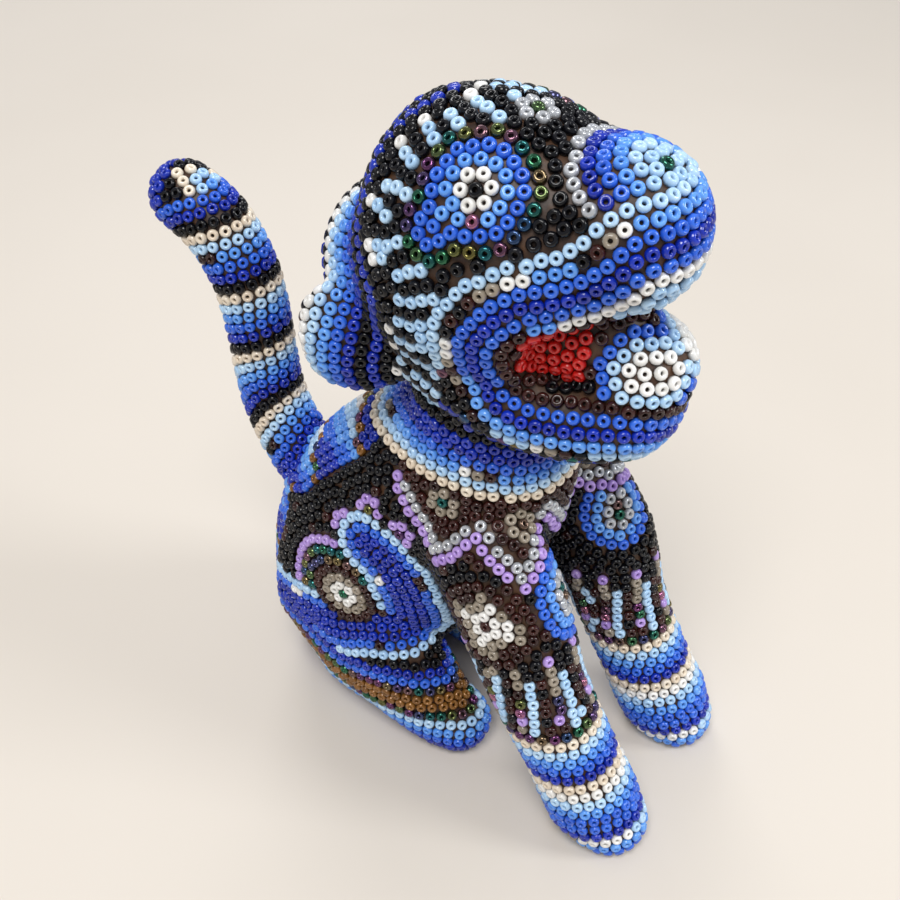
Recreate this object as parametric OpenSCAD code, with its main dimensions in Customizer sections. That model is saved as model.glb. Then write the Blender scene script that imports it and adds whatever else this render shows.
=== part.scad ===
// Beaded figure of a wild cat that sits with its mouth open: carved wood under a coat of wax that
// holds glass beads. -Y is the way it faces, +Z is up and the floor is z = 0.
// Each of its carvings is one or more limbs, a limb being a row of oval sections.

/* [Coats] */
// Thickness of the wax coat on the wood
wax_t = 1.2; // [0.8:0.1:1.4]
// Height of the beads above the wax
bead_t = 1.1; // [0.8:0.1:1.3]
// Height of the coats' lower edge above the floor
hem_z = 0.3; // [0.2:0.1:0.8]

/* [Pegs] */
// Diameter of the peg in the neck
neck_peg_d = 7; // [5:0.5:8]
// Length of the peg in the neck
neck_peg_l = 24; // [18:1:26]
// Diameter of the pegs in the front legs
leg_peg_d = 4; // [3:0.5:5]
// Length of the pegs in the front legs
leg_peg_l = 16; // [12:1:18]
// Diameter of the peg in the tail
tail_peg_d = 3.6; // [3:0.2:4]
// Length of the peg in the tail
tail_peg_l = 16; // [12:1:18]
// Clearance round each peg
peg_gap = 0.05; // [0.05:0.05:0.15]

/* [Smoothness] */
// Sides of a thick limb's sections
sides = 14; // [12:2:18]
// Rings between two stations
steps = 2; // [2:1:3]

/* [Hidden] */
coat_t = wax_t + bead_t;
// Brings the middle of the whole figure to y = 0
y_mid = 1.9;

// Stations of each limb: x, y and z of the centre, half width and half depth
torso_st = [[0, 21, 7, 14, 15], [0, 19, 20, 18, 20], [0, 12, 36, 18, 24], [0, 2, 52, 16, 23],
            [0, -7, 66, 14.5, 19.5], [0, -11, 79, 13.5, 15], [0, -12, 88, 13, 14]];
haunch_st = [[-8, 26, 20, 8.5, 12], [-11, 13, 18.5, 9, 19], [-12, 2, 13, 8.5, 14.5], [-12, -6, 7, 7.8, 9.5],
             [-11.5, -11, 5, 7, 7.5]];
right_leg_st = [[-10, -14, 58, 8.5, 12], [-11, -21, 46, 9.2, 11.5], [-13, -28, 32, 9, 9.5],
                [-13.5, -36, 18, 8.8, 9], [-14, -42, 7.5, 9.2, 9.5], [-14, -45.5, 4, 8, 8]];
left_leg_st = [[11.5, -18, 58, 9, 12], [13, -26, 46, 9.2, 11.5], [14, -31, 32, 9, 9.5],
               [14, -38, 18, 8.8, 9], [14, -44, 7.5, 9.2, 9.5], [14, -47, 4, 8, 8]];
skull_st = [[0, 4.9, 100.7, 14.2, 14.7], [0, -3.3, 104.1, 18.4, 22.2], [0, -12.2, 108.9, 18.7, 23.8],
            [0, -18.6, 112.5, 17.2, 20.9], [0, -24.2, 114.8, 14.5, 15.7], [0, -28.2, 116.5, 13, 12.6]];
jaw_st = [[0, -4.5, 93.4, 14.9, 11.6], [0, -15.4, 90.2, 16.4, 10.7], [0, -25.3, 88.1, 14.4, 9.5],
          [0, -32.7, 89.6, 12.3, 8.8]];
mouth_st = [[0, -26, 99.6, 60, 5], [0, -28.7, 100.3, 60.4, 5.2], [0, -36.5, 104.2, 59.8, 3.9],
            [0, -43.9, 107.7, 59.7, 3.8]];
tongue_st = [[0, -32, 91.5, 10.7, 9.3], [0, -34, 95.3, 10.2, 8.5]];
throat_st = [[0, -14, 98.7, 9.9, 8.8], [0, -21.1, 99.7, 10, 9.2], [0, -27.6, 99.9, 9.1, 9.3]];
ear_st = [[-9, 2, 94, 4.6, 9], [-12, 8, 92.5, 5, 10.5], [-13.5, 12, 92, 4.6, 9]];
tail_st = [[0, 24, 42, 7, 7], [0, 32, 48, 7, 7], [0, 38, 60, 6.6, 6.6], [0, 39, 74, 6.4, 6.4],
           [0, 40.5, 86, 6.6, 6.6], [0, 45.5, 94.5, 6.8, 6.8], [0, 52, 98, 6.8, 6.8]];
cap_angles = [25, 50, 74];
// Where each peg is centred and the way it runs
neck_joint = [[0, -11, 84], [0, 0, 1]];
right_leg_joint = [[-11.8, -24.5, 39], [-1.5, -7, -14]];
left_leg_joint = [[14.2, -29.5, 40], [0.3, -5, -14]];
tail_joint = [[0, 31, 46.5], [0, 0.65, 0.76]];
// Height at which the neck enters the head
neck_z = 84;
// Side of the blocks that cut the neck and the floor off
block = 100;

function mirrored(st) = [for (s = st) [-s[0], s[1], s[2], s[3], s[4]]];
function place(s) = [s[0], s[1] - y_mid, s[2]];
function unit(v) = v / norm(v);
// The curve that runs evenly through b and c, at t from 0 to 1
function between(a, b, c, d, t) = (2 * b + (c - a) * t + (2 * a - 5 * b + 4 * c - d) * t * t
    + (3 * b - a - 3 * c + d) * t * t * t) / 2;
function spine(st) = let (n = len(st) - 1) concat(
    [for (i = [0:n - 1], k = [0:steps - 1])
        between(st[max(i - 1, 0)], st[i], st[i + 1], st[min(i + 2, n)], k / steps)],
    [st[n]]);
function heading(sp, i) = unit(place(sp[min(i + 1, len(sp) - 1)]) - place(sp[max(i - 1, 0)]));
// A section is an oval across the heading, its width nearest to the X axis
function section(c, t, w, d, n) =
    let (side = unit([1, 0, 0] - t * t[0]), up = cross(side, t))
    [for (k = [0:n - 1]) let (a = 360 * (k + 0.5) / n) c + side * w * cos(a) + up * d * sin(a)];

// A ring of the round end at s, a degrees round from where the end begins
function end_ring(s, t, a, n) =
    section(place(s) + t * min(s[3], s[4]) * sin(a), t, s[3] * cos(a), s[4] * cos(a), n);

// A limb with round ends, its skin drawn in by the inset
module limb(st, inset) {
    around = max([for (s = st) s[3]]) > 12 ? sides : sides - 4;
    sp = [for (s = spine(st)) [s[0], s[1], s[2], s[3] - inset, s[4] - inset]];
    n = len(sp) - 1;
    back = heading(sp, 0);
    front = heading(sp, n);
    rings = concat(
        [for (k = [2:-1:0]) end_ring(sp[0], back, -cap_angles[k], around)],
        [for (i = [0:n]) section(place(sp[i]), heading(sp, i), sp[i][3], sp[i][4], around)],
        [for (a = cap_angles) end_ring(sp[n], front, a, around)]);
    last = len(rings) - 1;
    polyhedron([for (r = rings) each r], concat(
        [[for (k = [around - 1:-1:0]) k]],
        [for (i = [0:last - 1], k = [0:around - 1]) let (a = i * around, l = (k + 1) % around)
            [a + k, a + l, a + around + l, a + around + k]],
        [[for (k = [0:around - 1]) last * around + k]]));
}

// The outer shape of one carving, drawn in by the inset
module form(name, t) {
    if (name == "body") {
        difference() {
            limb(torso_st, t);
            translate([-block / 2, -block / 2, neck_z]) cube(block);
        }
        limb(haunch_st, t);
        limb(mirrored(haunch_st), t);
    }
    if (name == "head" || name == "muzzle") {
        difference() {
            union() {
                limb(skull_st, t);
                limb(jaw_st, t);
            }
            limb(mouth_st, -t);
        }
        limb(tongue_st, t);
    }
    if (name == "head" || name == "mouth") limb(throat_st, t);
    if (name == "right ear") limb(ear_st, t);
    if (name == "left ear") limb(mirrored(ear_st), t);
    if (name == "right leg") limb(right_leg_st, t);
    if (name == "left leg") limb(left_leg_st, t);
    if (name == "tail") limb(tail_st, t);
}

// What lies between two insets of a form, less the forms it is fixed to
module layer(name, outer, inner, fixed_to, inside, lowest = hem_z)
    resize([0, 0, 0]) difference() {
        form(name, outer);
        for (f = fixed_to) form(f, outer);
        for (f = inside) form(f, inner);
        translate([-block, -block, lowest - block]) cube([2 * block, 2 * block, block]);
    }

module wood(name, fixed_to) color("burlywood") layer(name, coat_t, coat_t, fixed_to, [], 0);
module wax(name, fixed_to, inside) color("peru") layer(name, bead_t, coat_t, fixed_to, inside);
module beads(name, fixed_to, inside) layer(name, 0, bead_t, fixed_to, inside);

// A rod centred on a joint, along the way that the joint's limb runs
module rod(joint, d, l)
    translate(place(joint[0]))
        rotate([0, acos(unit(joint[1])[2]), atan2(joint[1][1], joint[1][0])])
            cylinder(d = d, h = l, center = true, $fn = 32);
module neck_rod(gap) rod(neck_joint, neck_peg_d + 2 * gap, neck_peg_l + 2 * gap);
module right_leg_rod(gap) rod(right_leg_joint, leg_peg_d + 2 * gap, leg_peg_l + 2 * gap);
module left_leg_rod(gap) rod(left_leg_joint, leg_peg_d + 2 * gap, leg_peg_l + 2 * gap);
module tail_rod(gap) rod(tail_joint, tail_peg_d + 2 * gap, tail_peg_l + 2 * gap);

module body_core() difference() {
    wood("body", []);
    neck_rod(peg_gap);
    right_leg_rod(peg_gap);
    left_leg_rod(peg_gap);
    tail_rod(peg_gap);
}

module head_core() difference() {
    wood("head", ["body"]);
    neck_rod(peg_gap);
}

module right_leg_core() difference() {
    wood("right leg", ["body"]);
    right_leg_rod(peg_gap);
}

module left_leg_core() difference() {
    wood("left leg", ["body"]);
    left_leg_rod(peg_gap);
}

module tail_core() difference() {
    wood("tail", ["body"]);
    tail_rod(peg_gap);
}

body_joins = ["body", "head", "right leg", "left leg", "tail"];
head_joins = ["head", "right ear", "left ear"];

body_core();
head_core();
wood("right ear", ["head"]);  // right_ear_core
wood("left ear", ["head"]);  // left_ear_core
right_leg_core();
left_leg_core();
tail_core();
color("tan") neck_rod(0);  // neck_peg
color("tan") right_leg_rod(0);  // right_leg_peg
color("tan") left_leg_rod(0);  // left_leg_peg
color("tan") tail_rod(0);  // tail_peg
wax("body", [], body_joins);  // body_wax
wax("head", ["body"], head_joins);  // head_wax
wax("right ear", ["head"], ["right ear"]);  // right_ear_wax
wax("left ear", ["head"], ["left ear"]);  // left_ear_wax
wax("right leg", ["body"], ["right leg"]);  // right_leg_wax
wax("left leg", ["body"], ["left leg"]);  // left_leg_wax
wax("tail", ["body"], ["tail"]);  // tail_wax
color("#202024") beads("body", [], body_joins);  // body_beads
color("#2f5fd0") beads("muzzle", ["body"], head_joins);  // head_beads
color("#c01818") beads("mouth", ["body", "muzzle"], head_joins);  // mouth_beads
color("#d8e4f0") beads("right ear", ["head"], ["right ear"]);  // right_ear_beads
color("#d8e4f0") beads("left ear", ["head"], ["left ear"]);  // left_ear_beads
color("#6f9fe0") beads("right leg", ["body"], ["right leg"]);  // right_leg_beads
color("#6f9fe0") beads("left leg", ["body"], ["left leg"]);  // left_leg_beads
color("#4a7fd8") beads("tail", ["body"], ["tail"]);  // tail_beads
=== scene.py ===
import heapq
import math
import random

import bmesh
import bpy
import numpy as np
from mathutils import Matrix, Vector
from mathutils.bvhtree import BVHTree
from mathutils.kdtree import KDTree


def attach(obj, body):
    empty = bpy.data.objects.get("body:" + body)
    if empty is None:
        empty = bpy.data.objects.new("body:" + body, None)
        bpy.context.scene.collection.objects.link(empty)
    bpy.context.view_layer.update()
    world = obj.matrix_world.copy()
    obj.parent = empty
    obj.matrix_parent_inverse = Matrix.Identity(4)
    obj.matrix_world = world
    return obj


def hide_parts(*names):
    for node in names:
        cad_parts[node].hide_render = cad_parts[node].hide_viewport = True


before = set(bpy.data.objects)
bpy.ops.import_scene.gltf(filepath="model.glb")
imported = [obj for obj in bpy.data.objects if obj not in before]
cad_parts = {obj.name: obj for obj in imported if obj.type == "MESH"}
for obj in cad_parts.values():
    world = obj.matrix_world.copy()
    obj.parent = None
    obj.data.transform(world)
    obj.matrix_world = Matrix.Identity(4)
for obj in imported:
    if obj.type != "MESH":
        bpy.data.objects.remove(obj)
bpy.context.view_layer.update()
dice = random.Random(11)
mm = 0.001

# camera, floor, light
viewpoint = {"place": (-115.4, -75.9, 187.0), "azimuth": -58, "elevation": 42, "lens": 42}
floorLook = {"size": 12.0, "pale": (0.71, 0.65, 0.575, 1), "shade": (0.68, 0.62, 0.545, 1), "mottle": 6.0}
room = {"colour": (0.93, 0.95, 1, 1), "strength": 0.46}
lamps = {
    "window": {"place": (-0.35, -0.10, 0.85), "aim": (0, 0, 0.06), "size": 0.38, "power": 5.2,
               "tint": (1, 0.98, 0.95)},
    "front": {"place": (0.25, -0.65, 0.55), "aim": (0, 0, 0.06), "size": 0.24, "power": 2.6,
              "tint": (0.95, 0.98, 1)},
    "back": {"place": (0.45, 0.45, 0.6), "aim": (0, 0, 0.06), "size": 0.35, "power": 1.8,
             "tint": (1, 1, 1)},
}


def makeCamera():
    turn, lift = math.radians(viewpoint["azimuth"]), math.radians(viewpoint["elevation"])
    back = Vector((math.sin(turn) * math.cos(lift), -math.cos(turn) * math.cos(lift), math.sin(lift)))
    data = bpy.data.cameras.new("camera")
    data.lens = viewpoint["lens"]
    data.sensor_width = 36
    data.clip_start = 0.005
    camera = bpy.data.objects.new("camera", data)
    camera.location = Vector(viewpoint["place"]) * mm
    camera.rotation_euler = back.to_track_quat("Z", "Y").to_euler()
    bpy.context.scene.collection.objects.link(camera)
    bpy.context.scene.camera = camera


def makeLamps():
    for name, lamp in lamps.items():
        data = bpy.data.lights.new(name, "AREA")
        data.size = lamp["size"]
        data.energy = lamp["power"]
        data.color = lamp["tint"]
        light = bpy.data.objects.new(name, data)
        light.location = lamp["place"]
        back = Vector(lamp["place"]) - Vector(lamp["aim"])
        light.rotation_euler = back.to_track_quat("Z", "Y").to_euler()
        bpy.context.scene.collection.objects.link(light)
    world = bpy.data.worlds.new("room")
    world.use_nodes = True
    world.node_tree.nodes["Background"].inputs["Color"].default_value = room["colour"]
    world.node_tree.nodes["Background"].inputs["Strength"].default_value = room["strength"]
    bpy.context.scene.world = world
    bpy.context.scene.view_settings.view_transform = "Standard"


# material helpers
def newMaterial(name):
    material = bpy.data.materials.new(name)
    material.use_nodes = True
    tree = material.node_tree
    return material, tree, tree.nodes["Principled BSDF"]


def addNode(tree, kind, inputs=None, **settings):
    node = tree.nodes.new(kind)
    for key, value in settings.items():
        setattr(node, key, value)
    for key, value in (inputs or {}).items():
        if isinstance(value, bpy.types.NodeSocket):
            tree.links.new(value, node.inputs[key])
        else:
            node.inputs[key].default_value = value
    return node


def ramp(tree, factor, stops):
    node = addNode(tree, "ShaderNodeValToRGB", {"Fac": factor})
    elements = node.color_ramp.elements
    while len(elements) < len(stops):
        elements.new(0.5)
    for element, (place, colour) in zip(elements, stops):
        element.position = place
        element.color = colour
    return node.outputs["Color"]


def objectNoise(tree, scale, detail=3.0, rough=0.5):
    place = addNode(tree, "ShaderNodeTexCoord").outputs["Object"]
    return addNode(tree, "ShaderNodeTexNoise", {"Vector": place, "Scale": scale, "Detail": detail,
                                                "Roughness": rough})


def addBump(tree, shader, height, strength, distance):
    bump = addNode(tree, "ShaderNodeBump", {"Height": height, "Strength": strength, "Distance": distance})
    tree.links.new(bump.outputs["Normal"], shader.inputs["Normal"])


def floorMaterial():
    material, tree, shader = newMaterial("paleFloor")
    noise = objectNoise(tree, floorLook["mottle"])
    tree.links.new(ramp(tree, noise.outputs["Fac"], [(0.3, floorLook["shade"]), (0.7, floorLook["pale"])]),
                   shader.inputs["Base Color"])
    shader.inputs["Roughness"].default_value = 0.55
    return material


woodLook = {"light": (0.62, 0.42, 0.22, 1), "dark": (0.40, 0.24, 0.11, 1), "ringScale": 180.0}


def woodMaterial(name, light, dark):
    material, tree, shader = newMaterial(name)
    place = addNode(tree, "ShaderNodeTexCoord").outputs["Object"]
    stretched = addNode(tree, "ShaderNodeMapping", {"Vector": place, "Scale": (1.0, 1.0, 0.12)})
    wave = addNode(tree, "ShaderNodeTexWave", {"Vector": stretched.outputs["Vector"],
                                               "Scale": woodLook["ringScale"],
                                               "Distortion": 5.0, "Detail": 3.0, "Detail Scale": 1.5})
    tree.links.new(ramp(tree, wave.outputs["Fac"], [(0.2, dark),
                                                    (0.8, light)]), shader.inputs["Base Color"])
    shader.inputs["Roughness"].default_value = 0.7
    addBump(tree, shader, wave.outputs["Fac"], 0.2, 0.0002)
    return material


waxLook = {"warm": (0.085, 0.038, 0.016, 1), "deep": (0.035, 0.016, 0.009, 1), "grain": 420.0}


def waxMaterial():
    material, tree, shader = newMaterial("beeswax")
    noise = objectNoise(tree, waxLook["grain"], 4.0)
    tree.links.new(ramp(tree, noise.outputs["Fac"], [(0.35, waxLook["deep"]), (0.65, waxLook["warm"])]),
                   shader.inputs["Base Color"])
    shader.inputs["Roughness"].default_value = 0.5
    shader.inputs["Subsurface Weight"].default_value = 0.15
    shader.inputs["Subsurface Radius"].default_value = (0.002, 0.001, 0.0005)
    addBump(tree, shader, noise.outputs["Fac"], 0.35, 0.0003)
    return material


# two colours of each glass, roughness, clearness, metal sheen, and the slot that sorts its beads into pieces
glass = {
    "royal": {"tones": [(0.003, 0.017, 0.31), (0.007, 0.034, 0.47)], "slot": "blue_beads"},
    "blue": {"tones": [(0.020, 0.105, 0.62), (0.036, 0.16, 0.76)], "slot": "blue_beads"},
    "sky": {"tones": [(0.085, 0.28, 0.80), (0.14, 0.38, 0.88)], "slot": "blue_beads"},
    "ice": {"tones": [(0.38, 0.60, 0.86), (0.50, 0.71, 0.92)], "slot": "pale_blue_beads"},
    "white": {"tones": [(0.78, 0.77, 0.74), (0.88, 0.87, 0.85)], "slot": "pale_blue_beads"},
    "cream": {"tones": [(0.74, 0.62, 0.48), (0.82, 0.73, 0.60)], "slot": "pale_blue_beads"},
    "pearl": {"tones": [(0.52, 0.54, 0.57), (0.66, 0.68, 0.72)], "slot": "pale_blue_beads", "clear": 0.25,
              "sheen": 0.25},
    "lavender": {"tones": [(0.40, 0.25, 0.66), (0.50, 0.34, 0.76)], "slot": "pale_blue_beads"},
    "black": {"tones": [(0.002, 0.002, 0.003), (0.006, 0.006, 0.009)], "slot": "black_beads", "rough": 0.08,
              "coat": 0.0,
              "gloss": 0.32},
    "maroon": {"tones": [(0.024, 0.006, 0.005), (0.055, 0.014, 0.011)], "slot": "black_beads",
               "clear": 0.15, "coat": 0.1,
               "gloss": 0.4},
    "tan": {"tones": [(0.24, 0.20, 0.15), (0.34, 0.29, 0.23)], "slot": "black_beads"},
    "amber": {"tones": [(0.22, 0.09, 0.015), (0.34, 0.15, 0.03)], "slot": "black_beads", "clear": 0.15,
              "sheen": 0.2},
    "red": {"tones": [(0.62, 0.010, 0.008), (0.78, 0.025, 0.018)], "slot": "red_beads", "clear": 0.12},
    "teal": {"tones": [(0.012, 0.11, 0.13), (0.025, 0.13, 0.06), (0.17, 0.14, 0.035), (0.14, 0.04, 0.13),
                       (0.02, 0.07, 0.16)],
             "slot": "black_beads", "sheen": 0.85, "rough": 0.16},
    "rose": {"tones": [(0.42, 0.16, 0.24), (0.30, 0.11, 0.24)], "slot": "black_beads", "sheen": 0.8,
             "rough": 0.16},
}


# what every glass shares; shade sets how dark the painted shade in each bead's hole and underside gets
glassLook = {"swirl": 900.0, "bump": 0.06, "bumpDepth": 0.0001, "shade": 0.45, "ior": 1.52,
             "coatRough": 0.06}


def glassMaterial(name, look):
    material, tree, shader = newMaterial(name + "Glass")
    tone = addNode(tree, "ShaderNodeAttribute", attribute_name="beadTone").outputs["Fac"]
    tones = look["tones"]
    steps = [(index / (len(tones) - 1), (*colour, 1)) for index, colour in enumerate(tones)]
    colour = ramp(tree, tone, steps)
    # painted shade: the underside and the hole wall of each bead are darkened towards its first tone times
    # shade
    depth = addNode(tree, "ShaderNodeAttribute", attribute_name="beadDepth").outputs["Fac"]
    paintedHoleShade = addNode(tree, "ShaderNodeMix",
                      {0: depth, 6: colour, 7: (*[c * glassLook["shade"] for c in tones[0]], 1)},
                      data_type="RGBA")
    tree.links.new(paintedHoleShade.outputs[2], shader.inputs["Base Color"])
    swirl = objectNoise(tree, glassLook["swirl"], 2.0)
    addBump(tree, shader, swirl.outputs["Fac"], glassLook["bump"], glassLook["bumpDepth"])
    shader.inputs["Roughness"].default_value = look.get("rough", 0.14)
    shader.inputs["IOR"].default_value = glassLook["ior"]
    shader.inputs["Transmission Weight"].default_value = look.get("clear", 0.0)
    shader.inputs["Metallic"].default_value = look.get("sheen", 0.0)
    shader.inputs["Specular IOR Level"].default_value = look.get("gloss", 0.5)
    shader.inputs["Coat Weight"].default_value = look.get("coat", 0.25)
    shader.inputs["Coat Roughness"].default_value = glassLook["coatRough"]
    return material


# the wax surface
waxShape = {"voxel": 0.66, "smoothing": 14, "thickness": 1.0}
parts = ["body", "head", "mouth", "right_ear", "left_ear", "right_leg", "left_leg", "tail"]


def mergedCopy(objects):
    bm = bmesh.new()
    for piece in objects:
        bm.from_mesh(piece.data)
    bmesh.ops.remove_doubles(bm, verts=bm.verts, dist=1e-7)
    mesh = bpy.data.meshes.new("merged")
    bm.to_mesh(mesh)
    bm.free()
    return mesh


def makeWaxSurface():
    nodes = [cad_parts[name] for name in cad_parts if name.endswith(("_wax", "_core"))]
    rough = bpy.data.objects.new("waxDraft", mergedCopy(nodes))
    bpy.context.scene.collection.objects.link(rough)
    remesh = rough.modifiers.new("remesh", "REMESH")
    remesh.mode = "VOXEL"
    remesh.voxel_size = waxShape["voxel"] * mm
    remesh.adaptivity = 0
    bpy.context.view_layer.update()
    mesh = bpy.data.meshes.new_from_object(rough.evaluated_get(bpy.context.evaluated_depsgraph_get()))
    bpy.data.objects.remove(rough)
    bm = bmesh.new()
    bm.from_mesh(mesh)
    bmesh.ops.triangulate(bm, faces=bm.faces)
    for _ in range(waxShape["smoothing"]):
        bmesh.ops.smooth_vert(bm, verts=bm.verts, factor=0.5, use_axis_x=True, use_axis_y=True,
                              use_axis_z=True)
    # keep only the outer skin, not any closed pocket inside
    bm.verts.index_update()
    seen, shells = set(), []
    for start in bm.verts:
        if start.index in seen:
            continue
        shell, stack = [], [start]
        seen.add(start.index)
        while stack:
            vert = stack.pop()
            shell.append(vert)
            for edge in vert.link_edges:
                other = edge.other_vert(vert)
                if other.index not in seen:
                    seen.add(other.index)
                    stack.append(other)
        shells.append(shell)
    shells.sort(key=len)
    for shell in shells[:-1]:
        bmesh.ops.delete(bm, geom=shell, context="VERTS")
    bmesh.ops.recalc_face_normals(bm, faces=bm.faces)
    bm.verts.index_update()
    return bm


class Skin:
    # the smooth wax surface in millimetres, its neighbours and its part names
    def __init__(self, bm):
        self.points = np.array([tuple(v.co) for v in bm.verts]) / mm
        self.triangles = np.array([[v.index for v in f.verts] for f in bm.faces])
        self.normals = np.array([tuple(v.normal) for v in bm.verts])
        self.tree = BVHTree.FromPolygons([tuple(p) for p in self.points], self.triangles.tolist())
        self.sortParts()
        self.buildFans()

    def sortParts(self):
        near = []
        for name in parts:
            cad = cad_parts[name + "_beads"].data
            corners = np.zeros(len(cad.vertices) * 3)
            cad.vertices.foreach_get("co", corners)
            cad.calc_loop_triangles()
            faces = [tuple(t.vertices) for t in cad.loop_triangles]
            tree = BVHTree.FromPolygons([tuple(p) for p in corners.reshape(-1, 3) / mm], faces)
            near.append([tree.find_nearest(p)[3] for p in self.points])
        self.part = np.argmin(np.array(near), axis=0)

    def buildFans(self):
        p, t = self.points, self.triangles
        self.fans = [[] for _ in p]
        for a, b, c in ((0, 1, 2), (0, 2, 1), (1, 0, 2), (1, 2, 0), (2, 0, 1), (2, 1, 0)):
            va, vb, vc = t[:, a], t[:, b], t[:, c]
            along = p[vb] - p[va]
            base = np.linalg.norm(along, axis=1)
            reach = p[vc] - p[va]
            wx = (reach * along).sum(1) / base
            far = np.linalg.norm(reach, axis=1)
            wy = np.sqrt(np.maximum(far ** 2 - wx ** 2, 1e-9))
            rows = zip(va.tolist(), vb.tolist(), vc.tolist(), base.tolist(), wx.tolist(), wy.tolist(),
                       far.tolist())
            for v, x, w, c0, x0, y0, f0 in rows:
                self.fans[v].append((x, w, c0, x0, y0, f0))

    def partMask(self, names):
        return np.isin(self.part, [parts.index(n) for n in names])

    def spread(self, seeds, allowed, limit):
        # distance over the surface from the seed corners
        far = float("inf")
        dist = [far] * len(self.points)
        heap = []
        for d, v in seeds:
            if allowed[v] and d < dist[v]:
                dist[v] = d
                heap.append((d, v))
        heapq.heapify(heap)
        fans = self.fans
        while heap:
            a, v = heapq.heappop(heap)
            if a > dist[v]:
                continue
            if a > limit:
                break
            for x, w, c, wx, wy, far0 in fans[v]:
                if not allowed[w] or dist[w] <= a:
                    continue
                best = a + far0
                b = dist[x]
                if b < far:
                    sx = (a * a - b * b + c * c) / (2 * c)
                    q = a * a - sx * sx
                    if q > 0:
                        sy = math.sqrt(q)
                        cross = sx + (wx - sx) * sy / (wy + sy)
                        if 0 <= cross <= c:
                            best = min(best, math.hypot(wx - sx, wy + sy))
                if best < dist[w] - 1e-9:
                    dist[w] = best
                    heapq.heappush(heap, (best, w))
        return np.array(dist)


# motifs of the beadwork
rowPitch = 1.95    # from one row to the next, in millimetres as are all places here
beadPitch = 2.08   # along a row
minGap = 1.70      # least room between the beads of the rows
fillGap = 1.55     # room that still takes one more bead
easing = {"turns": 12, "want": 2.08, "share": 0.45, "most": 0.45}   # how beads push each other apart
strayShare = 0.07  # maroon beads among the black ones

headParts = ["head", "right_ear", "left_ear"]
lipHalf = [(0, -42, 117.5), (-5, -41, 117.3), (-9.2, -38.4, 117), (-10.6, -36.4, 114.2),
           (-11.2, -32.5, 110.8),
           (-12.8, -28.5, 109), (-15, -25.3, 108.2), (-16.2, -22.3, 106.3), (-16.8, -20.2, 103),
           (-16.6, -19.6, 99.5),
           (-16, -20, 96.3), (-15, -21.8, 94), (-13.6, -25.1, 92.3), (-12.3, -28.8, 92),
           (-11.1, -33.6, 92.6),
           (-10.2, -37.3, 93.1), (-7.7, -40.8, 92.4), (-3.5, -42.8, 90.6), (0, -43.4, 89.6)]
cheekHalf = [(-12.5, -5, 86.5), (-14.6, -6.4, 91.3), (-17.2, -7.9, 98.1), (-18.2, -8.7, 102.8),
             (-18.3, -8.5, 107),
             (-18.2, -6.4, 110.9), (-16.6, -3.8, 113.8), (-15.5, -3, 116.8), (-14.6, -3.7, 120.2),
             (-12.2, -4.1, 123.2),
             (-10, -6.3, 126.3), (-8.5, -8.4, 128.2), (-6.3, -10, 129.4), (-4, -11.5, 130.2),
             (0, -13.4, 131)]
ruffHalf = [(0, 11, 74), (-6.5, 8.1, 72.6), (-9.5, 4, 72), (-11.6, 0.1, 72), (-13, -4.3, 71.4),
            (-13.8, -9.1, 71.2),
            (-13.7, -13.7, 70.9), (-12.5, -17.6, 70.5), (-10.8, -21.7, 70.2), (-7.7, -24.5, 70),
            (-4, -26.4, 70.8),
            (0, -27.4, 71.5)]
zigzagHalf = [(-13.5, -3.5, 67), (-14.5, -6.5, 62.5), (-16.9, -11, 58.2), (-16.2, -15, 63),
              (-14.5, -18.2, 66.4),
              (-15.2, -22.5, 63), (-14.2, -26.8, 58.8), (-10, -27.5, 63), (-5, -26.3, 67), (0, -27.4, 59.5)]
wingHalf = [(-15.9, 3.5, 50), (-16, -1.3, 46.9), (-15, -3.6, 40), (-14.3, -4.2, 34), (-13.8, -4.6, 30),
            (-16.5, 0, 30),
            (-18, 5, 28.5), (-19, 12, 26), (-17.5, 19.5, 24), (-14.5, 27, 22)]
spineLine = [(0, 14, 70), (0, 21, 62), (0, 29, 52.5), (0, 36, 40), (0, 39, 30), (0, 40, 24)]


def pick(rows, k):
    return rows[max(0, min(len(rows) - 1, k))]


def accent(s, starts, order=("white", "tan", "maroon", "black")):
    # a short run of odd beads in a band
    for start in starts:
        step = int((s - start) // beadPitch)
        if 0 <= step < len(order):
            return order[step]
    return None


def lipColour(k, s, p):
    upper = p.z > 104.5
    lower = p.z < 95.5
    if k < 0:
        if upper and s < 30:
            return "white" if s < 25 else "sky"
        return "maroon"
    if k == 3:
        return accent(s, (8, 27, 37, 50)) or ("ice" if lower else "sky")
    if lower:
        return pick(["blue", "royal", "sky", "ice", "teal" if int(s) % 3 == 0 else "black"], k)
    return pick(["blue", "royal", "blue", "sky", "ice"], k)


def cheekColour(k, s, p):
    if k <= 2:
        if int(s // beadPitch) % 2:
            return "black"
        return "white" if k == 2 else "ice"
    if k <= 10:
        return pick(["black", "royal", "black", "royal", "blue", "sky", "ice", "white"], k - 3)
    if abs(p.x) > 11 and p.z < 103:
        return "maroon" if (k + int(s // 5)) % 2 else "black"
    return pick(["black", "royal", "royal", "blue", "sky", "ice", "white", "maroon"], (k - 11) % 8)


def ruffColour(k, s, p):
    if k == 2:
        return accent(s % 24, (6,), ("white", "tan", "maroon")) or "sky"
    return pick(["cream", "ice", "sky", "blue", "royal", "royal", "black", "royal"], k)


def zigzagColour(k, s, p):
    return "lavender" if k < 0 else ("pearl" if k == 0 else "maroon")


def wingColour(k, s, p):
    if abs(k) == 2 and int(s // 7) % 3 == 1 and int(s) % 7 < 4:
        return "white" if int(s) % 2 else "maroon"
    return pick(["royal", "royal", "blue", "ice"], abs(k))


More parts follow.
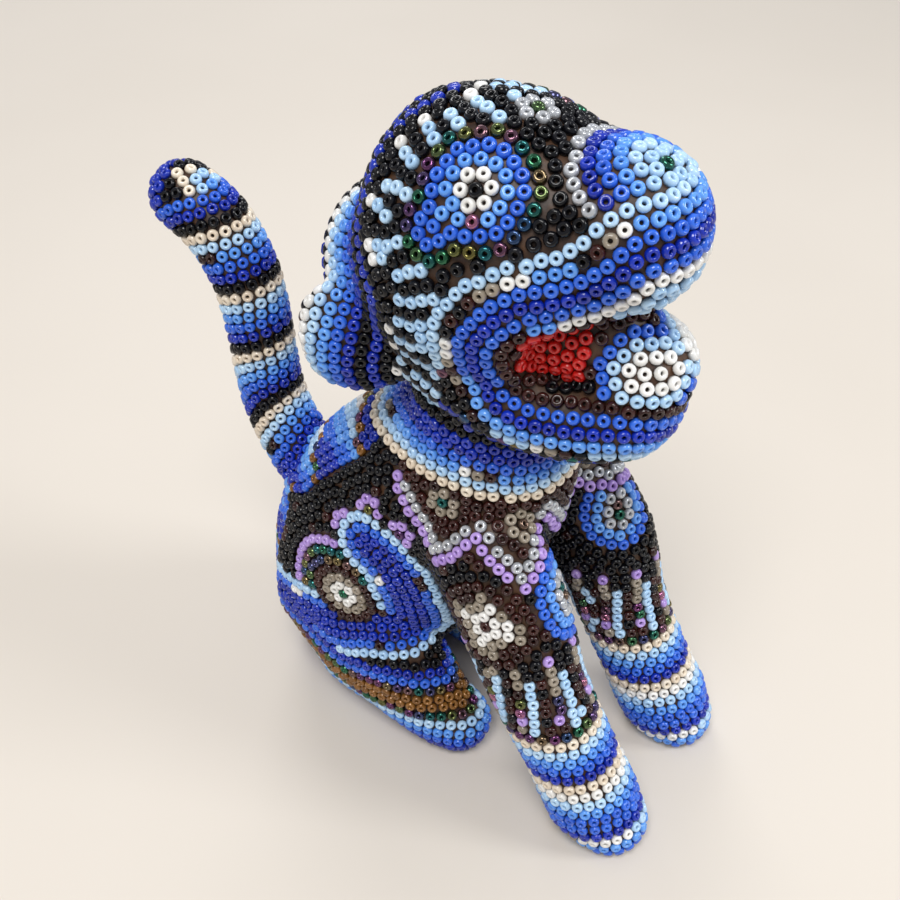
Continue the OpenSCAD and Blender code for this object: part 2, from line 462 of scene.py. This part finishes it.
def spineColour(k, s, p):
    # overlapping feathers, each from white at its root to royal at its tip
    step = (s % 15) / 15
    if step > 0.88:
        return "teal" if k % 2 else "amber"
    return pick(["white", "ice", "sky", "blue", "royal", "royal"], int(abs(k) * 0.45 + step * 4))


def baseColour(k, s, p):
    return pick(["royal", "royal", "blue", "sky", "ice", "teal", "amber", "amber", "teal", "blue",
                 "royal"], k)


def legColour(k, s, p):
    # s counts bead columns round the leg
    number = int(math.floor(s))
    column = number % 3
    if k < 0:
        if column != 1:
            return "black"
        return "tan" if k == -1 else "lavender"
    if k <= 5:
        if column == 0:
            return "ice"
        if column == 2:
            return "maroon" if (k + number) % 3 else "black"
        return (["tan", "maroon", "teal", "rose", "lavender", "tan"] if number % 2 else
                ["tan", "tan", "teal", "teal", "lavender", "maroon"])[k]
    if k == 19:
        return accent(s % 9, (3,)) or "ice"
    return pick(["teal", "cream", "ice", "sky", "blue", "royal", "cream", "white", "ice", "sky", "blue",
                 "blue", "royal",
                 "ice", "sky", "blue", "royal", "royal"], k - 6)


def tailColour(k, s, p):
    if p.y > 51:
        return "white" if p.z > 103.5 and abs(p.x) < 2.5 else "royal"
    # towards the tip the stripes bend into a V
    bend = int(abs(p.x) * 0.8) if k > 25 else 0
    colour = ["royal", "blue", "sky", "ice", "cream", "black"][(k + bend) % 6]
    if colour == "sky" and p.x < -5.0 and k < 24:
        return "maroon" if int(s) % 2 else "black"
    return colour


def throatColour(k, s, p):
    return "red" if p.y > -30.5 and 95.6 < p.z < 105.5 and abs(p.x) < 13 else "maroon"


def tongueColour(k, s, p):
    return pick(["white", "white", "ice", "blue"], k)


def rings(*colours):
    return lambda k, s, p: pick(colours, k)


def eyeColour(k, s, p):
    if k == 2 and int(s * 2.2) % 7 == 3:
        return "rose"
    return pick(["black", "white", "sky", "blue", "teal"], k)


def lobeColour(k, s, p):
    # four-lobed flower: s is the angle round it
    lobe = math.cos(4 * s) > -0.1
    if k <= 1:
        return "maroon" if k == 0 else "white"
    if k == 2:
        return "white" if lobe else "tan"
    if k == 3:
        return "tan" if lobe else "maroon"
    return "maroon"


def noseColour(k, s, p):
    return pick(["teal", "ice", "ice", "sky", "blue", "royal", "pearl"], k)


# kind "spot" grows rings round its points, "line" grows rows on both sides of a path,
# "ring" grows rows from a plane across a limb, "edge" from where its part begins
motifs = [
    {"name": "lips", "kind": "line", "path": lipHalf, "mirror": True, "flip": -1, "rows": (-1, 4),
     "on": ["head", "mouth"],
     "colour": lipColour},
    {"name": "tongue", "kind": "spot", "path": [(-6.9, -38.9, 100), (-5.5, -40.4, 100), (-4, -41.8, 100)],
     "mirror": True,
     "rows": (0, 3), "on": ["head", "mouth"], "colour": tongueColour},
    {"name": "throat", "kind": "line", "path": [(-10, -23.5, 103), (-10, -23.5, 96)], "mirror": True,
     "flip": 1,
     "rows": (-9, 9), "on": ["head", "mouth"], "inside": True, "colour": throatColour},
    {"name": "eye", "kind": "spot", "path": [(-13.4, -15.6, 123.9)], "also": [(-16.3, -10.5, 118, 2),
        (-15.6, -12.4, 120.4, 1.6)],
     "mirror": True, "rows": (0, 4), "on": headParts, "colour": eyeColour},
    {"name": "forehead", "kind": "spot", "path": [(0, -17.3, 130.4)], "rows": (0, 1), "on": headParts,
     "colour": rings("teal", "pearl")},
    {"name": "nose", "kind": "spot", "path": [(0, -35.8, 127.5)], "rows": (0, 6), "on": headParts,
     "colour": noseColour},
    {"name": "cheek", "kind": "line", "path": cheekHalf, "mirror": True, "flip": 1, "rows": (-2, 34),
     "on": headParts,
     "columnsTo": 2, "colour": cheekColour},
    {"name": "ruff", "kind": "line", "path": ruffHalf, "mirror": True, "flip": 1, "rows": (0, 9),
     "on": ["body"],
     "colour": ruffColour},
    {"name": "chestFlowers", "kind": "spot", "path": [(-14, -10.9, 66.6)], "mirror": True, "rows": (0, 1),
     "on": ["body", "right_leg", "left_leg"],
     "colour": rings("teal", "tan")},
    {"name": "breastFlowers", "kind": "spot", "path": [(-9.6, -23.9, 65.6)], "mirror": True, "rows": (0, 1),
     "on": ["body", "right_leg", "left_leg"], "colour": rings("teal", "tan")},
    {"name": "zigzag", "kind": "line", "path": zigzagHalf, "mirror": True, "flip": 1, "rows": (-1, 3),
     "on": ["body", "right_leg", "left_leg"], "colour": zigzagColour},
    {"name": "rightBlueFlower", "kind": "spot", "path": [(-7.6, -30.8, 52.6), (-7.6, -31.1, 50.8),
                                                         (-7.6, -31.3, 49)], "rows": (0, 3),
     "on": ["body", "right_leg", "left_leg"], "colour": rings("teal", "pearl", "sky", "blue")},
    {"name": "leftBlueFlower", "kind": "spot", "path": [(9.2, -32.6, 58), (9.2, -32.9, 56)], "rows": (0, 3),
     "on": ["body", "right_leg", "left_leg"], "colour": rings("teal", "pearl", "sky", "blue")},
    {"name": "rightShoulder", "kind": "spot", "path": [(-19.5, -22.6, 48.5)], "rows": (0, 4),
     "on": ["body", "right_leg"], "colour": lobeColour},
    {"name": "leftShoulder", "kind": "spot", "path": [(20, -24, 50)], "rows": (0, 4), "on": ["body",
        "left_leg"],
     "colour": lobeColour},
    {"name": "rightLeg", "kind": "ring", "centre": (-12.2, -27, 38), "axis": (0, -0.18, -1), "columns": 27,
     "rows": (-2, 40),
     "columnsTo": 5, "on": ["right_leg"], "colour": legColour},
    {"name": "leftLeg", "kind": "ring", "centre": (13.6, -31, 38), "axis": (0, -0.18, -1), "columns": 27,
     "rows": (-2, 40),
     "columnsTo": 5, "on": ["left_leg"], "colour": legColour},
    {"name": "base", "kind": "ring", "centre": (0, 5, 1.35), "axis": (0, 0, 1), "columns": 60,
     "rows": (-1, 10),
     "on": ["body"], "colour": baseColour},
    {"name": "haunchFlower", "kind": "spot", "path": [(-17.6, 9.1, 35)], "mirror": True, "rows": (0, 3),
     "on": ["body"],
     "colour": rings("teal", "white", "tan", "maroon")},
    {"name": "wing", "kind": "line", "path": wingHalf, "mirror": True, "flip": 1, "rows": (-3, 3),
     "on": ["body"],
     "colour": wingColour},
    {"name": "haunchRim", "kind": "spot", "path": [(-17.6, 9.1, 35)], "mirror": True, "rows": (4, 6),
     "on": ["body"],
     "colour": rings("", "", "", "", "teal", "teal", "lavender")},
    {"name": "spine", "kind": "line", "path": spineLine, "flip": 1, "rows": (-6, 6), "on": ["body"],
     "colour": spineColour},
    {"name": "flankFlowers", "kind": "spot", "path": [(-14.9, 3.7, 58)], "mirror": True, "rows": (0, 1),
     "on": ["body"],
     "colour": rings("teal", "lavender")},
    {"name": "sideFlowers", "kind": "spot", "path": [(-15.3, -2.9, 55.5)], "mirror": True, "rows": (0, 1),
     "on": ["body"],
     "colour": rings("teal", "lavender")},
    {"name": "hipFlowers", "kind": "spot", "path": [(-15.7, 9.8, 51.5)], "mirror": True, "rows": (0, 1),
     "on": ["body"],
     "colour": rings("teal", "lavender")},
    {"name": "tail", "kind": "edge", "rows": (0, 60), "on": ["tail"], "from": "body", "colour": tailColour},
]


def groundColour(p, name):
    # what fills the space between the motifs
    if name in ("head", "mouth"):
        if insideMouth(p):
            return "maroon" if p.y > -36 else "blue"
        if p.y < -28 and 100 < p.z < 117:
            return "ice"
        if p.z < 92:
            return "royal" if int(p.z / 2) % 2 else "black"
        return "black"
    if dice.random() < strayShare:
        return "maroon"
    return "black"


def insideMouth(p):
    middle = 99.6 + max(0.0, -25 - p.y) * 0.42
    return p.y < -19.5 and abs(p.z - middle) < 6.0 and abs(p.x) < 15.5 and p.z < 108.5


# laying out the beads
class Layout:
    def __init__(self, skin):
        self.skin = skin
        count = len(skin.points)
        self.motif = np.full(count, -1)
        self.row = np.zeros(count)
        self.beads = []          # place, colour, part
        self.cells = {}
        low = (skin.points[:, 2] < 0.75) & (skin.normals[:, 2] < -0.5)
        self.open = ~low         # the flat underside stays bare
        self.curves = {}

    def cell(self, p):
        return (int(p[0] // beadPitch), int(p[1] // beadPitch), int(p[2] // beadPitch))

    def clear(self, p, gap):
        a, b, c = self.cell(p)
        for i in (a - 1, a, a + 1):
            for j in (b - 1, b, b + 1):
                for k in (c - 1, c, c + 1):
                    for q in self.cells.get((i, j, k), ()):
                        if (q[0] - p[0]) ** 2 + (q[1] - p[1]) ** 2 + (q[2] - p[2]) ** 2 < gap * gap:
                            return False
        return True

    def clearsFloor(self, p):
        if p.z > 2.5:
            return True
        lean = self.skin.tree.find_nearest(p)[1].z
        reach = beadShape["outer"] * beadShape["sizes"][1] * math.sqrt(max(0.0, 1 - lean * lean))
        return p.z + lean * beadShape["lift"] - reach - beadShape["half"] * abs(lean) > beadShape["floorRoom"]

    def put(self, p, colour, part, gap=minGap):
        if not self.clearsFloor(Vector(p)) or not self.clear(p, gap):
            return False
        self.beads.append([Vector(p), colour, part])
        self.cells.setdefault(self.cell(p), []).append(tuple(p))
        return True

    # the paths of a motif as close samples on the surface
    def samples(self, motif):
        halves = [(motif["path"], 1)]
        if motif.get("mirror"):
            halves.append(([(-x, y, z) for x, y, z in motif["path"]], -1))
        out = []
        for path, hand in halves:
            s = 0.0
            if len(path) == 1:
                place, normal = self.skin.tree.find_nearest(path[0])[:2]
                out.append((place, normal, Vector((0, 0, 1)), 0.0, hand))
                continue
            for a, b in zip(path, path[1:]):
                a, b = Vector(a), Vector(b)
                steps = max(1, int((b - a).length / 0.35))
                for i in range(steps):
                    place, normal = self.skin.tree.find_nearest(a.lerp(b, i / steps))[:2]
                    out.append((place, normal, (b - a).normalized(), s + (b - a).length * i / steps, hand))
                s += (b - a).length
        return out

    def claim(self, index, motif):
        skin = self.skin
        allowed = self.open & skin.partMask(motif["on"])
        if motif.get("inside"):
            allowed &= np.array([insideMouth(Vector(p)) for p in skin.points]) | skin.partMask(["mouth"])
        low, high = motif["rows"]
        limit = (max(abs(low), high) + 0.6) * rowPitch
        side = np.ones(len(skin.points))
        if motif["kind"] in ("line", "spot"):
            points = self.samples(motif)
            lookup = KDTree(len(points))
            for i, sample in enumerate(points):
                lookup.insert(sample[0], i)
            lookup.balance()
            self.curves[index] = (points, lookup)
            seeds = []
            for sample in points:
                face = skin.tree.find_nearest(sample[0])[2]
                for v in skin.triangles[face]:
                    seeds.append(((Vector(skin.points[v]) - sample[0]).length, int(v)))
            for x, y, z, offset in motif.get("also", []):
                for hand in (1, -1):
                    place, _, face, _ = skin.tree.find_nearest((x * hand, y, z))
                    for v in skin.triangles[face]:
                        seeds.append((offset * rowPitch + (Vector(skin.points[v]) - place).length, int(v)))
            dist = skin.spread(seeds, allowed, limit)
            if motif["kind"] == "line":
                for v in np.nonzero(np.isfinite(dist))[0]:
                    side[v] = self.sideOf(points, lookup, Vector(skin.points[v]), motif["flip"])
        elif motif["kind"] == "ring":
            axis = Vector(motif["axis"]).normalized()
            height = (skin.points - np.array(motif["centre"])) @ np.array(axis)
            near = np.nonzero((np.abs(height) < 0.7) & allowed)[0]
            dist = skin.spread([(abs(height[v]), int(v)) for v in near], allowed, limit)
            side = np.where(height < 0, -1, 1)
            if motif["axis"][2] > 0:
                side = np.where(height < -0.6, -1, 1)
        else:
            border = set()
            first = skin.partMask([motif["from"]])
            for tri in skin.triangles:
                if first[tri].any() and not first[tri].all():
                    border.update(int(v) for v in tri if allowed[v])
            dist = skin.spread([(0.0, v) for v in border], allowed, limit)
        value = np.where(np.isfinite(dist), dist, 1e9) / rowPitch * side
        if motif["kind"] == "edge":
            value -= 0.5
        take = allowed & (self.motif < 0) & (value >= low - 0.5) & (value <= high + 0.5)
        self.motif[take] = index
        self.row[take] = value[take]

    def sideOf(self, points, lookup, p, flip):
        place, normal, along, _, hand = points[lookup.find(p)[1]]
        return flip * hand if normal.cross(along).dot(p - place) > 0 else -flip * hand

    def arc(self, index, p):
        motif = motifs[index]
        if motif["kind"] == "ring":
            axis = Vector(motif["axis"]).normalized()
            out = Vector((1, 0, 0))
            up = axis.cross(out)
            d = p - Vector(motif["centre"])
            return (math.atan2(d.dot(up), d.dot(out)) / math.tau + 0.5) * motif["columns"]
        if motif["kind"] == "edge":
            return p.y * 0.7 + p.x * 0.9 + 100
        points, lookup = self.curves[index]
        place, normal, along, s, _ = points[lookup.find(p)[1]]
        if motif["kind"] == "spot" and len(motif["path"]) == 1:
            flat = normal.cross(Vector((0, 0, 1))).normalized()
            return math.atan2((p - place).z, (p - place).dot(flat)) + math.pi
        return s + (p - place).dot(along)

    # rows as lines of equal distance
    def chains(self, level):
        skin, row = self.skin, self.row
        tri = self.levelTriangles
        values = row[tri] - level
        crossing = (values.min(1) < 0) & (values.max(1) >= 0) & (np.ptp(values, axis=1) < 0.95)
        links, places = {}, {}
        for t, v in zip(tri[crossing].tolist(), values[crossing].tolist()):
            ends = []
            for i, j in ((0, 1), (1, 2), (2, 0)):
                if (v[i] < 0) != (v[j] < 0):
                    key = (min(t[i], t[j]), max(t[i], t[j]))
                    if key not in places:
                        mix = v[i] / (v[i] - v[j])
                        places[key] = skin.points[t[i]] * (1 - mix) + skin.points[t[j]] * mix
                    ends.append(key)
            if len(ends) == 2:
                links.setdefault(ends[0], []).append(ends[1])
                links.setdefault(ends[1], []).append(ends[0])
        used, found = set(), []
        starts = [k for k in links if len(links[k]) == 1] + list(links)
        for start in starts:
            if start in used:
                continue
            chain = [start]
            used.add(start)
            while True:
                onward = [k for k in links[chain[-1]] if k not in used]
                if not onward:
                    break
                chain.append(onward[0])
                used.add(onward[0])
            line = [Vector(places[k]) for k in chain]
            if len(chain) > 4 and chain[0] in links[chain[-1]]:   # a closed ring
                line.append(line[0])
            if len(line) > 1:
                found.append(line)
        return found

    def layRow(self, index, level):
        motif = motifs[index]
        for line in self.chains(level):
            lengths = [0.0]
            for a, b in zip(line, line[1:]):
                lengths.append(lengths[-1] + (b - a).length)
            total = lengths[-1]
            if total < 0.6 * beadPitch:
                continue
            if level <= motif.get("columnsTo", -99):
                unit = 1.0 if motif["kind"] == "ring" else beadPitch
                before = None
                for a, b in zip(line, line[1:]):
                    here = math.floor(self.arc(index, a.lerp(b, 0.5)) / unit - 0.5)
                    if before is not None and here != before:
                        self.tryBead(index, level, a)
                    before = here
                continue
            count = max(1, int(round(total / beadPitch)))
            slot = 0
            for i in range(count):
                target = (i + 0.5) * total / count
                while slot < len(lengths) - 2 and lengths[slot + 1] < target:
                    slot += 1
                span = max(lengths[slot + 1] - lengths[slot], 1e-9)
                self.tryBead(index, level, line[slot].lerp(line[slot + 1], (target - lengths[slot]) / span))

    def tryBead(self, index, level, p):
        place, _, face, _ = self.skin.tree.find_nearest(p)
        if place is None:
            return
        part = parts[self.skin.part[self.skin.triangles[face][0]]]
        motif = motifs[index] if index >= 0 else None
        if motif:
            colour = motif["colour"](int(level), self.arc(index, place), place)
        else:
            colour = groundColour(place, part)
        self.put(place, colour, part)

    def layCentre(self, index):
        # the middle beads of a spot, or the bead row on the path of a line
        motif = motifs[index]
        if motif["rows"][0] > 0 or motif["kind"] not in ("spot", "line"):
            return
        points = self.curves[index][0]
        last = None
        for place, _, _, _, hand in points:
            if last is not None and last[1] == hand and (place - last[0]).length < beadPitch * 0.98:
                continue
            face = self.skin.tree.find_nearest(place)[2]
            corner = self.skin.triangles[face][0]
            if self.motif[corner] != index:
                continue
            if motif.get("columnsTo") is not None:
                continue
            self.tryBead(index, 0, place)
            last = (place, hand)

    def build(self):
        for index, motif in enumerate(motifs):
            self.claim(index, motif)
            print("motif", motif["name"], int((self.motif == index).sum()))
        rest = self.open & (self.motif < 0)
        border = {int(v) for tri in self.skin.triangles for v in tri
                  if rest[v] and not rest[tri].all()}
        dist = self.skin.spread([(0.3, v) for v in border], rest, 999)
        self.row[rest] = np.where(np.isfinite(dist), dist, 0)[rest] / rowPitch + 0.3
        same = self.skin.triangles
        for index, motif in enumerate(motifs):
            self.levelTriangles = same[(self.motif[same] == index).all(1)]
            if not len(self.levelTriangles):
                continue
            self.layCentre(index)
            low, high = motif["rows"]
            top = min(high, int(math.ceil(self.row[self.motif == index].max())))
            for level in sorted(range(low, top + 1), key=abs):
                if level == 0 and motif["kind"] in ("spot", "line") and motif.get("columnsTo") is None:
                    continue
                self.layRow(index, level)
        self.levelTriangles = same[rest[same].all(1)]
        for level in range(1, 40):
            for line in self.chains(level):
                self.layGround(line)
        self.fillGaps()
        self.relax()

    def layGround(self, line):
        last = None
        for b in line[1:]:
            if last is None or (b - last).length >= beadPitch:
                self.tryBead(-1, 0, b)
                last = b

    def fillGaps(self):
        look = KDTree(len(self.beads))
        for i, bead in enumerate(self.beads):
            look.insert(bead[0], i)
        look.balance()
        spare = []
        for v, p in enumerate(self.skin.points):
            if self.open[v]:
                gap = look.find(p)[2]
                if gap > fillGap:
                    spare.append((-gap, v))
        spare.sort()
        added = 0
        for _, v in spare:
            p = Vector(self.skin.points[v])
            index = self.motif[v]
            part = parts[self.skin.part[v]]
            if index >= 0:
                colour = motifs[index]["colour"](int(round(self.row[v])), self.arc(index, p), p)
            else:
                colour = groundColour(p, part)
            added += self.put(p, colour or "black", part, fillGap)
        print("beads", len(self.beads), "of which gap beads", added)

    def relax(self):
        want, most = easing["want"], easing["most"]
        for _ in range(easing["turns"]):
            look = KDTree(len(self.beads))
            for i, bead in enumerate(self.beads):
                look.insert(bead[0], i)
            look.balance()
            moves = []
            for i, bead in enumerate(self.beads):
                push = Vector((0, 0, 0))
                for place, j, gap in look.find_range(bead[0], want):
                    if j != i and gap > 1e-4:
                        push += (bead[0] - place) * ((want - gap) / gap * easing["share"])
                moves.append(push)
            for bead, push in zip(self.beads, moves):
                if push.length > most:
                    push *= most / push.length
                moved = self.skin.tree.find_nearest(bead[0] + push)[0]
                if self.clearsFloor(moved):
                    bead[0] = moved
        look = KDTree(len(self.beads))
        for i, bead in enumerate(self.beads):
            look.insert(bead[0], i)
        look.balance()
        gaps = sorted(look.find_n(bead[0], 2)[1][2] for bead in self.beads)
        print("least spacing, then at 1, 5, 25 and 50 percent, mm:",
              [round(gaps[int(len(gaps) * share)], 2) for share in (0, 0.01, 0.05, 0.25, 0.5)])


# making the pieces
beadShape = {"outer": 1.055, "hole": 0.35, "half": 0.68, "sides": 12, "tilt": 4.0, "lift": 0.40,
             "sizes": (0.96, 1.03),
             "floorRoom": 0.06, "mostInPiece": 1300}


def beadMesh():
    # one seed bead: a rounded section spun round its hole
    o, h, half = beadShape["outer"], beadShape["hole"], beadShape["half"]
    section = [(o * 0.90, -half * 0.75), (o, 0.0), (o * 0.86, half * 0.70), (o * 0.60, half),
               (h, half * 0.70),
               (h * 0.6, -half * 0.6)]
    bm = bmesh.new()
    ring = [bm.verts.new((r * mm, 0, z * mm)) for r, z in section]
    edges = [bm.edges.new((a, b)) for a, b in zip(ring, ring[1:] + ring[:1])]
    bmesh.ops.spin(bm, geom=ring + edges, axis=(0, 0, 1), cent=(0, 0, 0), angle=math.tau,
                   steps=beadShape["sides"],
                   use_merge=True)
    bmesh.ops.remove_doubles(bm, verts=bm.verts, dist=1e-7)
    bmesh.ops.recalc_face_normals(bm, faces=bm.faces)
    mesh = bpy.data.meshes.new("seedBead")
    bm.to_mesh(mesh)
    bm.free()
    return mesh


def beadGroup(name, beads, skin, seed, materials):
    # many copies of the seed bead in one mesh, each with its own turn, size and tone
    colours = sorted({bead[1] for bead in beads})
    count, faceCount = len(seed.vertices), len(seed.polygons)
    base = np.zeros(count * 3)
    seed.vertices.foreach_get("co", base)
    base = base.reshape(-1, 3)
    corners = np.array([list(face.vertices) for face in seed.polygons])
    half = beadShape["half"] * mm
    # painted shade: how far down the bead each corner lies, which darkens the hole and underside in the glass
    # material
    depth = np.clip((0.15 * half - base[:, 2]) / (0.9 * half), 0, 1)
    verts, faces, slots, tones = [], [], [], []
    for number, (place, colour, _) in enumerate(beads):
        near, _, face = skin.tree.find_nearest(place)[:3]
        corner = skin.triangles[face]
        weights = [1 / (1e-3 + (Vector(skin.points[v]) - near).length) for v in corner]
        normal = Vector(sum(skin.normals[v] * w for v, w in zip(corner, weights)))
        tilt = math.radians(beadShape["tilt"])
        sway = Vector((dice.gauss(0, tilt), dice.gauss(0, tilt), dice.gauss(0, tilt)))
        normal = (normal.normalized() + sway).normalized()
        turn = normal.to_track_quat("Z", "Y").to_matrix() @ Matrix.Rotation(dice.uniform(0, math.tau), 3,
            "Z")
        size = dice.uniform(*beadShape["sizes"])
        centre = (np.array(place) + np.array(normal) * (beadShape["lift"] + dice.gauss(0, 0.03))) * mm
        verts.append(base * size @ np.array(turn).T + centre)
        faces.append(corners + number * count)
        slots.append(np.full(faceCount, colours.index(colour)))
        tones.append(np.full(count, dice.random()))
    mesh = bpy.data.meshes.new(name)
    verts = np.concatenate(verts)
    faces = np.concatenate(faces)
    mesh.vertices.add(len(verts))
    mesh.vertices.foreach_set("co", verts.astype(np.float32).ravel())
    mesh.loops.add(faces.size)
    mesh.loops.foreach_set("vertex_index", faces.ravel().astype(np.int32))
    mesh.polygons.add(len(faces))
    mesh.polygons.foreach_set("loop_start", (np.arange(len(faces)) * 4).astype(np.int32))
    mesh.polygons.foreach_set("material_index", np.concatenate(slots).astype(np.int32))
    mesh.update(calc_edges=True)
    for key, values in (("beadTone", np.concatenate(tones)), ("beadDepth", np.tile(depth, len(beads)))):
        mesh.attributes.new(key, "FLOAT", "POINT").data.foreach_set("value", values.astype(np.float32))
    mesh.shade_smooth()
    for colour in colours:
        mesh.materials.append(materials[colour])
    piece = bpy.data.objects.new(name, mesh)
    bpy.context.scene.collection.objects.link(piece)
    return piece


def makeWaxPieces(bm, skin, material):
    # each part's own coat, cut from the smooth surface and given a thickness inwards
    names = ["body", "head", "right_ear", "left_ear", "right_leg", "left_leg", "tail"]
    owner = np.where(skin.part == parts.index("mouth"), parts.index("head"), skin.part)
    for name in names:
        wanted = parts.index(name)
        part = bm.copy()
        part.faces.ensure_lookup_table()
        gone = [f for f in part.faces if owner[f.verts[0].index] != wanted
                or (f.normal.z < -0.8 and f.calc_center_median().z < 0.9 * mm)]
        bmesh.ops.delete(part, geom=gone, context="FACES")
        bmesh.ops.delete(part, geom=[v for v in part.verts if not v.link_faces], context="VERTS")
        mesh = bpy.data.meshes.new(name + "WaxCoat")
        part.to_mesh(mesh)
        part.free()
        mesh.shade_smooth()
        mesh.materials.append(material)
        piece = bpy.data.objects.new(name + "WaxCoat", mesh)
        bpy.context.scene.collection.objects.link(piece)
        wall = piece.modifiers.new("wall", "SOLIDIFY")
        wall.thickness = waxShape["thickness"] * mm
        wall.offset = -1
        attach(piece, "root")
        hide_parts(name + "_wax")


makeCamera()
makeLamps()
bm = bmesh.new()
bmesh.ops.create_grid(bm, x_segments=2, y_segments=2, size=floorLook["size"])
floorMesh = bpy.data.meshes.new("floor")
bm.to_mesh(floorMesh)
bm.free()
floorMesh.materials.append(floorMaterial())
floor = bpy.data.objects.new("floor", floorMesh)
bpy.context.scene.collection.objects.link(floor)
print("camera, light and floor ready")

waxSurface = makeWaxSurface()
skin = Skin(waxSurface)
print("wax surface", len(skin.points), "corners")
layout = Layout(skin)
layout.build()
print("beads laid out")

makeWaxPieces(waxSurface, skin, waxMaterial())
waxSurface.free()
carved = woodMaterial("carvedWood", woodLook["light"], woodLook["dark"])
turned = woodMaterial("pegWood", (0.70, 0.52, 0.30, 1), (0.50, 0.33, 0.16, 1))
for name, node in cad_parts.items():
    node.data.materials.clear()
    node.data.materials.append(turned if name.endswith("_peg") else carved)

materials = {name: glassMaterial(name, look) for name, look in glass.items()}
seed = beadMesh()
families = {"black_beads": "Dark", "blue_beads": "Blue", "pale_blue_beads": "Pale", "red_beads": "Red"}
total = largest = 0
for part in parts:
    for slotName, family in families.items():
        group = [bead for bead in layout.beads if bead[2] == part and glass[bead[1]]["slot"] == slotName]
        if not group:
            continue
        words = part.split("_")
        pieceName = words[0] + "".join(word.capitalize() for word in words[1:]) + family + "Beads"
        # a large group is shared out from front to back
        count = math.ceil(len(group) / beadShape["mostInPiece"])
        group.sort(key=lambda bead: bead[0].y)
        size = math.ceil(len(group) / count)
        for number in range(count):
            share = group[number * size:(number + 1) * size]
            label = pieceName + (str(number + 1) if count > 1 else "")
            piece = beadGroup(label, share, skin, seed, materials)
            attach(piece, "root")
            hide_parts(part + "_beads")
            largest = max(largest, len(share))
        total += len(group)
print("bead pieces ready,", total, "beads, at most", largest, "in one piece,", len(seed.polygons) * 2,
      "triangles each")
